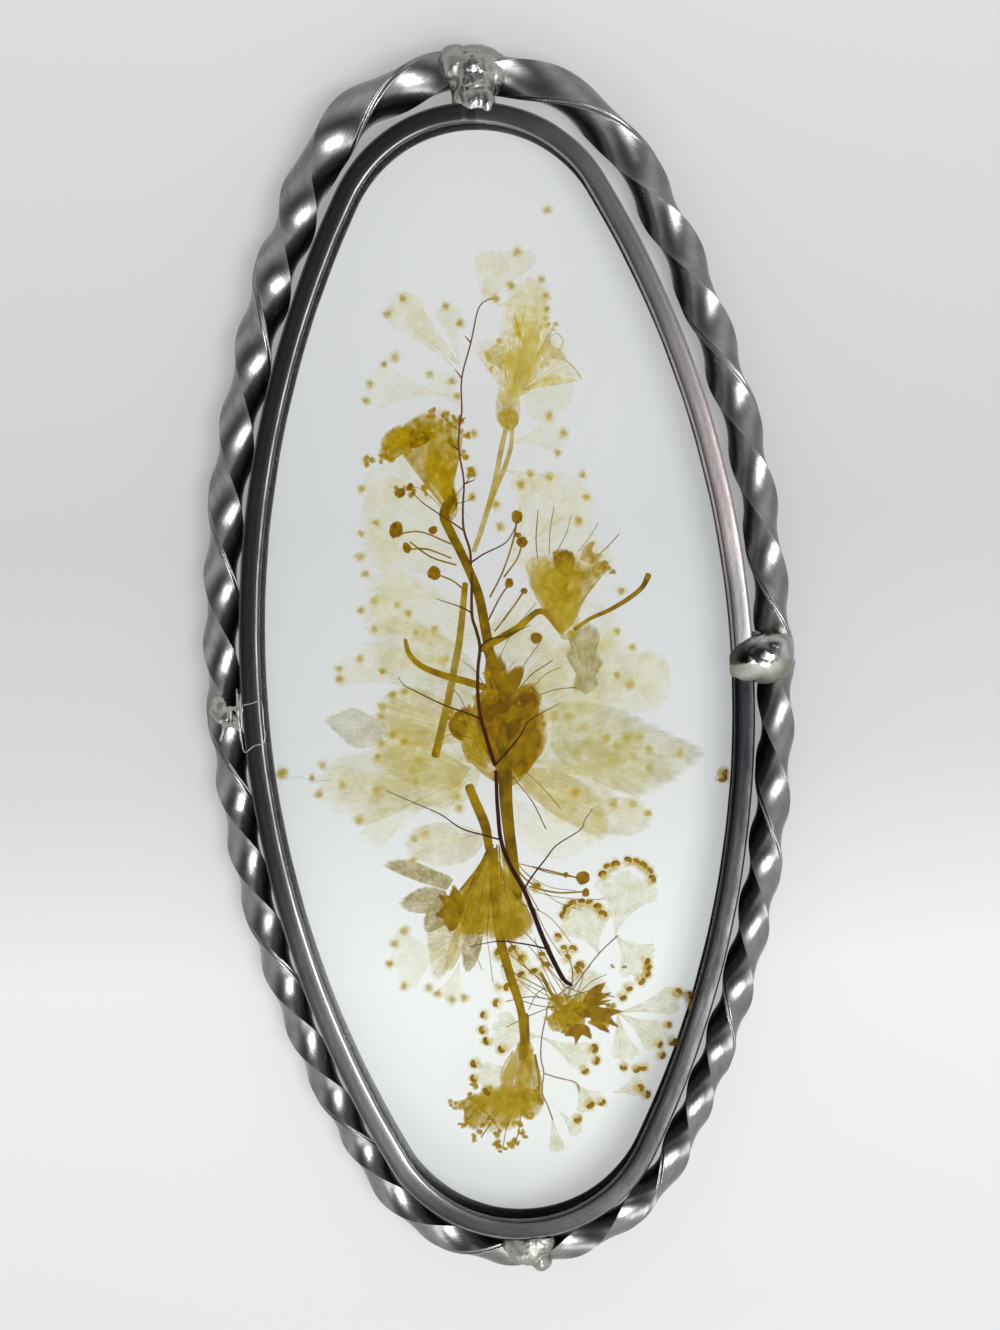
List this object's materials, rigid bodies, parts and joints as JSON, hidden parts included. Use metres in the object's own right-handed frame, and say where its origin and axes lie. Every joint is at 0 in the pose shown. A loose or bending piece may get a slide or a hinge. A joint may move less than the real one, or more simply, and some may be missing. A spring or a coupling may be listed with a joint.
{
  "type": "pressed flower frame",
  "caption": "Oval frame of clear panes in a U-section metal rim with a twisted metal border soldered on, holding dried fern and flowers pressed flat.",
  "frame": {"origin": "middle of the frame's outline, on the plane of the rim's back face", "axes": "+X to the right, +Y along the oval towards the top joint, +Z out of the front, towards the viewer"},
  "size_m": [0.0608, 0.1256, 0.0072],
  "materials": {
    "rim_metal": "satin",
    "border_metal": "satin",
    "solder": "satin",
    "glass": "gloss",
    "fern_stalk": "satin",
    "fern_blade": "matte",
    "petal": "matte",
    "flower_ochre": "matte",
    "flower_brown": "matte"
  },
  "bodies": {
    "root": {"buds_left": "flower_brown", "buds_lower_right": "flower_brown", "buds_right": "flower_brown", "came_rim": "rim_metal", "fern_leaflet_01": "fern_blade", "fern_leaflet_02": "fern_blade", "fern_leaflet_03": "fern_blade", "fern_leaflet_04": "fern_blade", "fern_leaflet_05": "fern_blade", "fern_leaflet_06": "fern_blade", "fern_leaflet_07": "fern_blade", "fern_leaflet_08": "fern_blade", "fern_leaflet_09": "fern_blade", "fern_leaflet_10": "fern_blade", "fern_leaflet_11": "fern_blade", "fern_leaflet_12": "fern_blade", "fern_leaflet_13": "fern_blade", "fern_leaflet_14": "fern_blade", "fern_leaflet_15": "fern_blade", "fern_leaflet_16": "fern_blade", "fern_leaflet_17": "fern_blade", "fern_leaflet_18": "fern_blade", "fern_leaflet_19": "fern_blade", "fern_leaflet_20": "fern_blade", "fern_leaflet_21": "fern_blade", "fern_leaflet_22": "fern_blade", "fern_leaflet_23": "fern_blade", "fern_leaflet_24": "fern_blade", "fern_sprig_lower": "fern_blade", "fern_sprig_upper": "fern_blade", "fern_stalk_lower": "fern_stalk", "fern_stalk_middle": "fern_stalk", "fern_stalk_upper": "fern_stalk", "flower_bottom": "flower_ochre", "flower_centre": "flower_brown", "flower_low_right": "flower_brown", "flower_lower_left": "flower_ochre", "flower_right": "flower_ochre", "flower_top": "flower_ochre", "flower_upper_left": "flower_ochre", "glass_back": "glass", "glass_front": "glass", "petal_grey": "petal", "petal_large_right": "petal", "petal_left": "petal", "petal_right": "petal", "solder_bottom": "solder", "solder_left": "solder", "solder_right": "solder", "solder_top": "solder", "stem_curved_left": "flower_ochre", "stem_curved_right": "flower_ochre", "stem_left": "flower_ochre", "stem_short": "flower_ochre", "twisted_border": "border_metal"}
  },
  "joints": []
}
